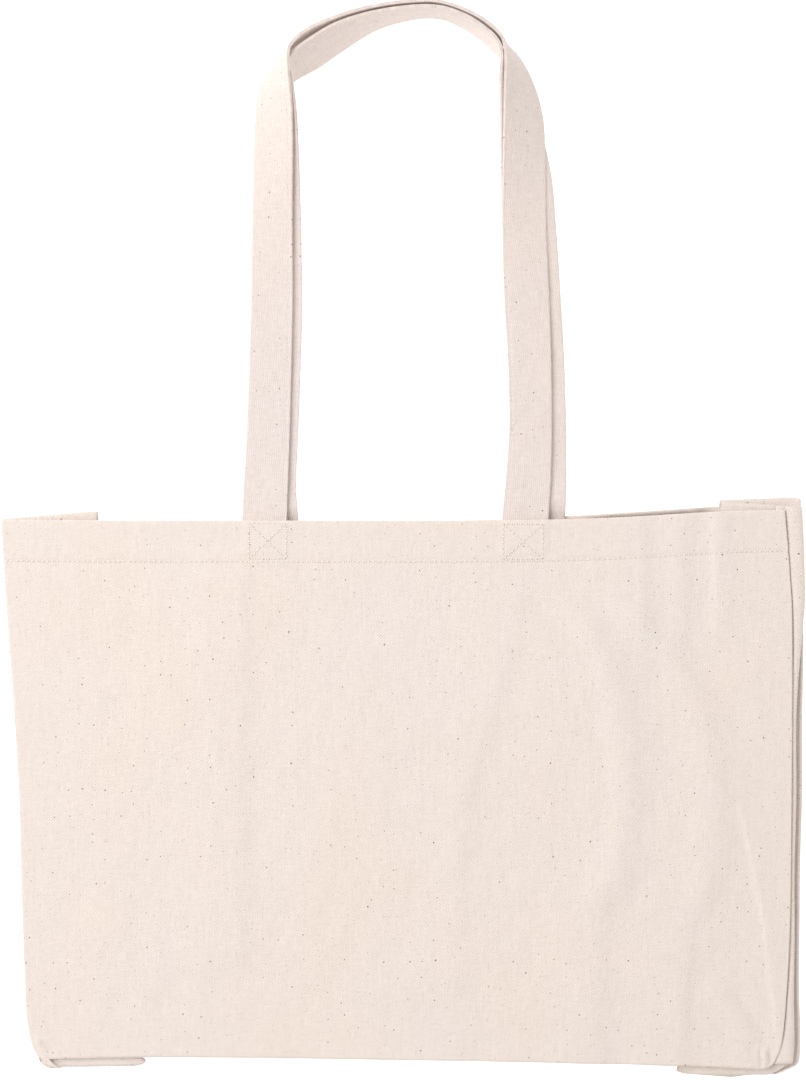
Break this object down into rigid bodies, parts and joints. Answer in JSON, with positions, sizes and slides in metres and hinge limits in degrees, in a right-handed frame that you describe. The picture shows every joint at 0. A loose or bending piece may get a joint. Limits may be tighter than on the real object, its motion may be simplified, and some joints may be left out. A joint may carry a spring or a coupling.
{
  "type": "canvas tote bag",
  "caption": "Soft canvas tote bag with pleated side and bottom gussets, hemmed open top and long fabric shoulder handles, lying flat and folded.",
  "frame": {"origin": "centre of the whole outline, on the surface that the back panel lies on", "axes": "+X across the bag, +Y from the bottom to the handles, +Z from the back panel to the front panel"},
  "size_m": [0.48, 0.6562, 0.0295],
  "materials": {
    "canvas": "unbleached cotton twill, matt, with small dark cotton-seed flecks",
    "strap_canvas": "the same cotton twill, folded and topstitched",
    "thread": "off-white sewing thread"
  },
  "bodies": {
    "back_side": {"back_panel": "canvas", "back_handle_tab_left": "strap_canvas", "back_handle_tab_right": "strap_canvas", "back_box_stitch_left": "thread", "back_box_stitch_right": "thread", "back_hem_stitch": "thread", "back_side_seam_left": "thread", "back_side_seam_right": "thread", "back_bottom_seam": "thread"},
    "right_pleat_back": {"right_gusset_back_half": "canvas", "right_corner_tuck_back": "canvas"},
    "right_pleat_front": {"right_gusset_front_half": "canvas", "right_corner_tuck_front": "canvas"},
    "left_pleat_back": {"left_gusset_back_half": "canvas", "left_corner_tuck_back": "canvas"},
    "left_pleat_front": {"left_gusset_front_half": "canvas", "left_corner_tuck_front": "canvas"},
    "bottom_pleat_back": {"bottom_back_half": "canvas"},
    "bottom_pleat_front": {"bottom_front_half": "canvas"},
    "front_side": {"front_panel": "canvas", "front_handle_tab_left": "strap_canvas", "front_handle_tab_right": "strap_canvas", "front_box_stitch_left": "thread", "front_box_stitch_right": "thread", "front_hem_stitch": "thread", "front_side_seam_left": "thread", "front_side_seam_right": "thread", "front_bottom_seam": "thread"},
    "front_handle": {"front_handle_loop": "strap_canvas", "front_handle_edge_stitch": "thread"},
    "back_handle": {"back_handle_loop": "strap_canvas", "back_handle_edge_stitch": "thread"}
  },
  "joints": [
    {"name": "bag_opening", "type": "slide", "parent": "back_side", "child": "front_side", "axis": [0, 0, 1], "range_m": [0, 0.075]},
    {"name": "right_back_seam", "type": "hinge", "parent": "back_side", "child": "right_pleat_back", "pos_m": [0.24, 0, 0.0031], "axis": [0, 1, 0], "range_deg": [0, 40]},
    {"name": "right_gusset_crease", "type": "hinge", "parent": "right_pleat_back", "child": "right_pleat_front", "pos_m": [0.18, 0, 0.0067], "axis": [0, -1, 0], "range_deg": [0, 80]},
    {"name": "left_back_seam", "type": "hinge", "parent": "back_side", "child": "left_pleat_back", "pos_m": [-0.24, 0, 0.0031], "axis": [0, -1, 0], "range_deg": [0, 40]},
    {"name": "left_gusset_crease", "type": "hinge", "parent": "left_pleat_back", "child": "left_pleat_front", "pos_m": [-0.18, 0, 0.0067], "axis": [0, 1, 0], "range_deg": [0, 80]},
    {"name": "bottom_back_seam", "type": "hinge", "parent": "back_side", "child": "bottom_pleat_back", "pos_m": [0, -0.322, 0.0031], "axis": [1, 0, 0], "range_deg": [0, 40]},
    {"name": "bottom_crease", "type": "hinge", "parent": "bottom_pleat_back", "child": "bottom_pleat_front", "pos_m": [0, -0.262, 0.0067], "axis": [-1, 0, 0], "range_deg": [0, 80]},
    {"name": "front_handle_swing", "type": "hinge", "parent": "front_side", "child": "front_handle", "pos_m": [0, 0.015, 0.0126], "axis": [1, 0, 0], "range_deg": [0, 170]},
    {"name": "back_handle_swing", "type": "hinge", "parent": "back_side", "child": "back_handle", "pos_m": [0, 0.015, 0.0008], "axis": [-1, 0, 0], "range_deg": [0, 170]}
  ],
  "couplings": [
    {"joint": "right_back_seam", "follows": "bag_opening", "rad_per_m": 8.6957},
    {"joint": "right_gusset_crease", "follows": "bag_opening", "rad_per_m": 17.391},
    {"joint": "left_back_seam", "follows": "bag_opening", "rad_per_m": 8.6957},
    {"joint": "left_gusset_crease", "follows": "bag_opening", "rad_per_m": 17.391},
    {"joint": "bottom_back_seam", "follows": "bag_opening", "rad_per_m": 8.6957},
    {"joint": "bottom_crease", "follows": "bag_opening", "rad_per_m": 17.391}
  ]
}
